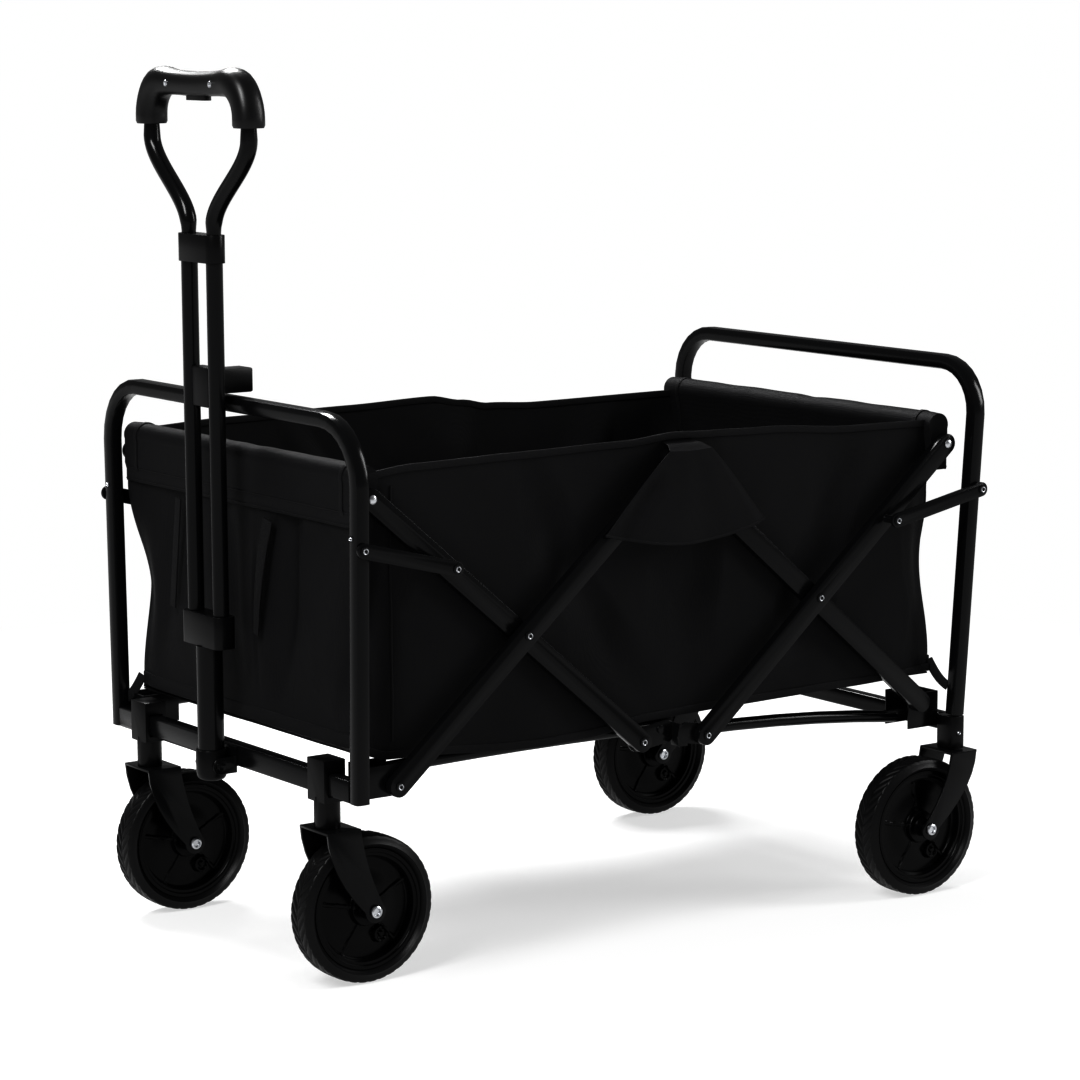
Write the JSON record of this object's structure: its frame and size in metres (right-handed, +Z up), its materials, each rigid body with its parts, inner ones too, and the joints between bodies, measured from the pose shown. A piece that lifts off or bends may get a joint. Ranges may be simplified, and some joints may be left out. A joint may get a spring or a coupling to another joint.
{
  "type": "folding wagon",
  "caption": "Folding utility wagon: fabric basket in a steel scissor frame, swivelling front wheels, fixed rear wheels and a telescopic pull handle with a looped grip.",
  "frame": {"origin": "middle of the footprint, on the ground under the wheels", "axes": "+X to the rear, away from the pull handle; +Y to the right of someone behind the wagon who faces the handle; +Z up"},
  "size_m": [0.9844, 0.6422, 1.0665],
  "materials": {
    "black steel": "satin powder coat",
    "black plastic": "matte",
    "wheel rim": "satin",
    "tyre": "matte",
    "bright bolt": "bright",
    "grip": "matte",
    "basket fabric": "woven"
  },
  "bodies": {
    "front_frame": {"front_hoop": "black steel", "front_crossbar": "black steel", "handle_bracket": "black steel", "caster_saddle_left": "black plastic", "caster_saddle_right": "black plastic", "front_corner_bracket_left": "black steel", "front_corner_bracket_right": "black steel"},
    "rear_frame": {"rear_hoop": "black steel", "rear_crossbar": "black steel", "rear_post_left": "black plastic", "rear_post_right": "black plastic", "rear_fork_left": "black steel", "rear_fork_right": "black steel", "rear_axle_left": "bright bolt", "rear_axle_right": "bright bolt", "rear_corner_bracket_left": "black steel", "rear_corner_bracket_right": "black steel"},
    "front_long_bars": {"front_long_bar_left": "black steel", "front_long_bar_right": "black steel"},
    "front_short_bars": {"front_short_bar_left": "black steel", "front_short_bar_right": "black steel"},
    "rear_long_bars": {"rear_long_bar_left": "black steel", "rear_long_bar_right": "black steel"},
    "rear_short_bars": {"rear_short_bar_left": "black steel", "rear_short_bar_right": "black steel"},
    "front_links": {"front_link_left": "black steel", "front_link_right": "black steel"},
    "rear_links": {"rear_link_left": "black steel", "rear_link_right": "black steel"},
    "hub_brackets": {"hub_bracket_left": "black steel", "hub_bracket_right": "black steel"},
    "front_floor_tubes": {"front_floor_tube_left": "black steel", "front_floor_tube_right": "black steel"},
    "rear_floor_tubes": {"rear_floor_tube_left": "black steel", "rear_floor_tube_right": "black steel"},
    "front_rim": {"front_rim_bar": "black steel", "basket": "basket fabric"},
    "rear_rim": {"rear_rim_bar": "black steel"},
    "handle": {"handle_foot": "black plastic", "handle_lower_tube": "black steel", "handle_joiner": "black plastic", "handle_tube_left": "black steel", "handle_tube_right": "black steel", "handle_top_collar": "black plastic", "handle_hook": "black plastic"},
    "bail": {"bail_tube": "black steel", "handle_grip": "grip"},
    "button": {"release_button": "grip"},
    "caster_left": {"caster_fork_left": "black steel", "front_axle_left": "bright bolt"},
    "front_wheel_left": {"front_tyre_left": "tyre", "front_rim_left": "wheel rim"},
    "rear_wheel_left": {"rear_tyre_left": "tyre", "rear_rim_left": "wheel rim"},
    "caster_right": {"caster_fork_right": "black steel", "front_axle_right": "bright bolt"},
    "front_wheel_right": {"front_tyre_right": "tyre", "front_rim_right": "wheel rim"},
    "rear_wheel_right": {"rear_tyre_right": "tyre", "rear_rim_right": "wheel rim"}
  },
  "joints": [
    {"name": "fold", "type": "hinge", "parent": "front_frame", "child": "front_long_bars", "pos_m": [-0.39485, 0, 0.248], "axis": [0, -1, 0], "range_deg": [0, 38.4], "deforming": ["basket"]},
    {"name": "front_crossing", "type": "hinge", "parent": "front_long_bars", "child": "front_short_bars", "pos_m": [-0.21185, 0, 0.40502], "axis": [0, -1, 0], "range_deg": [-85, 0]},
    {"name": "apex", "type": "hinge", "parent": "front_long_bars", "child": "rear_long_bars", "pos_m": [0.01015, 0, 0.5955], "axis": [0, -1, 0], "range_deg": [-76.81, 0]},
    {"name": "rear_crossing", "type": "hinge", "parent": "rear_long_bars", "child": "rear_short_bars", "pos_m": [0.23215, 0, 0.40502], "axis": [0, -1, 0], "range_deg": [0, 85]},
    {"name": "rear_foot", "type": "hinge", "parent": "rear_long_bars", "child": "rear_frame", "pos_m": [0.41515, 0, 0.248], "axis": [0, -1, 0], "range_deg": [0, 38.41]},
    {"name": "front_leg_link", "type": "hinge", "parent": "front_frame", "child": "front_links", "pos_m": [-0.44385, 0, 0.5282], "axis": [0, -1, 0], "range_deg": [0, 61.93]},
    {"name": "rear_leg_link", "type": "hinge", "parent": "rear_frame", "child": "rear_links", "pos_m": [0.47915, 0, 0.5237], "axis": [0, -1, 0], "range_deg": [-55.51, 0]},
    {"name": "hub", "type": "hinge", "parent": "front_short_bars", "child": "hub_brackets", "pos_m": [-0.03385, 0, 0.25271], "axis": [0, -1, 0], "range_deg": [0, 46.6]},
    {"name": "front_rim_pivot", "type": "hinge", "parent": "front_short_bars", "child": "front_rim", "pos_m": [-0.41985, 0, 0.583], "axis": [0, -1, 0], "range_deg": [0, 46.6]},
    {"name": "rear_rim_pivot", "type": "hinge", "parent": "rear_short_bars", "child": "rear_rim", "pos_m": [0.44015, 0, 0.583], "axis": [0, -1, 0], "range_deg": [-46.6, 0]},
    {"name": "front_floor_hinge", "type": "hinge", "parent": "front_frame", "child": "front_floor_tubes", "pos_m": [-0.39185, 0, 0.262], "axis": [0, -1, 0], "range_deg": [0, 75.58]},
    {"name": "rear_floor_hinge", "type": "hinge", "parent": "rear_frame", "child": "rear_floor_tubes", "pos_m": [0.40615, 0, 0.224], "axis": [0, -1, 0], "range_deg": [-73.39, 0]},
    {"name": "caster_swivel_left", "type": "hinge", "parent": "front_frame", "child": "caster_left", "pos_m": [-0.44185, -0.212, 0.1912], "axis": [0, 0, 1], "continuous": true},
    {"name": "front_wheel_spin_left", "type": "hinge", "parent": "caster_left", "child": "front_wheel_left", "pos_m": [-0.39585, -0.212, 0.089], "axis": [0, 1, 0], "continuous": true},
    {"name": "rear_wheel_spin_left", "type": "hinge", "parent": "rear_frame", "child": "rear_wheel_left", "pos_m": [0.40315, -0.284, 0.089], "axis": [0, 1, 0], "continuous": true},
    {"name": "caster_swivel_right", "type": "hinge", "parent": "front_frame", "child": "caster_right", "pos_m": [-0.44185, 0.212, 0.1912], "axis": [0, 0, 1], "continuous": true},
    {"name": "front_wheel_spin_right", "type": "hinge", "parent": "caster_right", "child": "front_wheel_right", "pos_m": [-0.39585, 0.212, 0.089], "axis": [0, 1, 0], "continuous": true},
    {"name": "rear_wheel_spin_right", "type": "hinge", "parent": "rear_frame", "child": "rear_wheel_right", "pos_m": [0.40315, 0.284, 0.089], "axis": [0, 1, 0], "continuous": true},
    {"name": "handle_pivot", "type": "hinge", "parent": "front_frame", "child": "handle", "pos_m": [-0.47385, 0, 0.234], "axis": [0, -1, 0], "range_deg": [0, 100]},
    {"name": "handle_extend", "type": "slide", "parent": "handle", "child": "bail", "axis": [0, 0, 1], "range_m": [0, 0.25]},
    {"name": "release_press", "type": "slide", "parent": "bail", "child": "button", "axis": [0, 0, 1], "range_m": [0, 0.004], "stiffness_N_per_m": 500, "springref_m": -0.002}
  ],
  "couplings": [
    {"joint": "front_crossing", "follows": "fold", "ratio": -2.2134},
    {"joint": "apex", "follows": "fold", "ratio": -2},
    {"joint": "rear_crossing", "follows": "fold", "ratio": 2.2134},
    {"joint": "rear_foot", "follows": "fold", "ratio": 1},
    {"joint": "front_leg_link", "follows": "fold", "ratio": 1.6125},
    {"joint": "rear_leg_link", "follows": "fold", "ratio": -1.4453},
    {"joint": "hub", "follows": "fold", "ratio": 1.2134},
    {"joint": "front_rim_pivot", "follows": "fold", "ratio": 1.2134},
    {"joint": "rear_rim_pivot", "follows": "fold", "ratio": -1.2134},
    {"joint": "front_floor_hinge", "follows": "fold", "ratio": 1.968},
    {"joint": "rear_floor_hinge", "follows": "fold", "ratio": -1.911}
  ]
}
